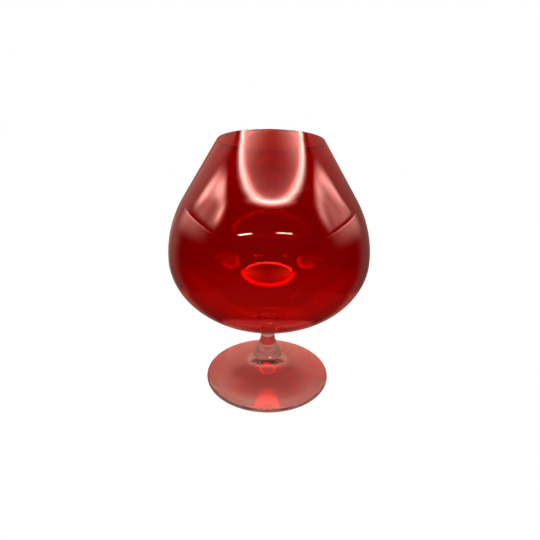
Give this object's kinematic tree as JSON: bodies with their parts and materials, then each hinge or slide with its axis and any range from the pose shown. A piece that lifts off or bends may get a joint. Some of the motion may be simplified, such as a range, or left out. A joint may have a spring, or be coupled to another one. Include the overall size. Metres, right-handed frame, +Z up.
{
  "type": "brandy snifter",
  "caption": "Stemmed drinking glass: a wide balloon bowl narrowing to a small mouth, on a short stem and a round cone foot.",
  "frame": {"origin": "on the turning axis, at the level of the resting ring under the foot", "axes": "+Z up along the turning axis, towards the mouth; +X and +Y are any two level directions"},
  "size_m": [0.1292, 0.1292, 0.16],
  "materials": {
    "ruby_glass": "fire-polished, transparent ruby",
    "clear_stem_glass": "fire-polished, clear",
    "clear_foot_glass": "fire-polished, clear, faint turning rings"
  },
  "bodies": {
    "root": {"bowl": "ruby_glass", "stem": "clear_stem_glass", "foot": "clear_foot_glass"}
  },
  "joints": []
}
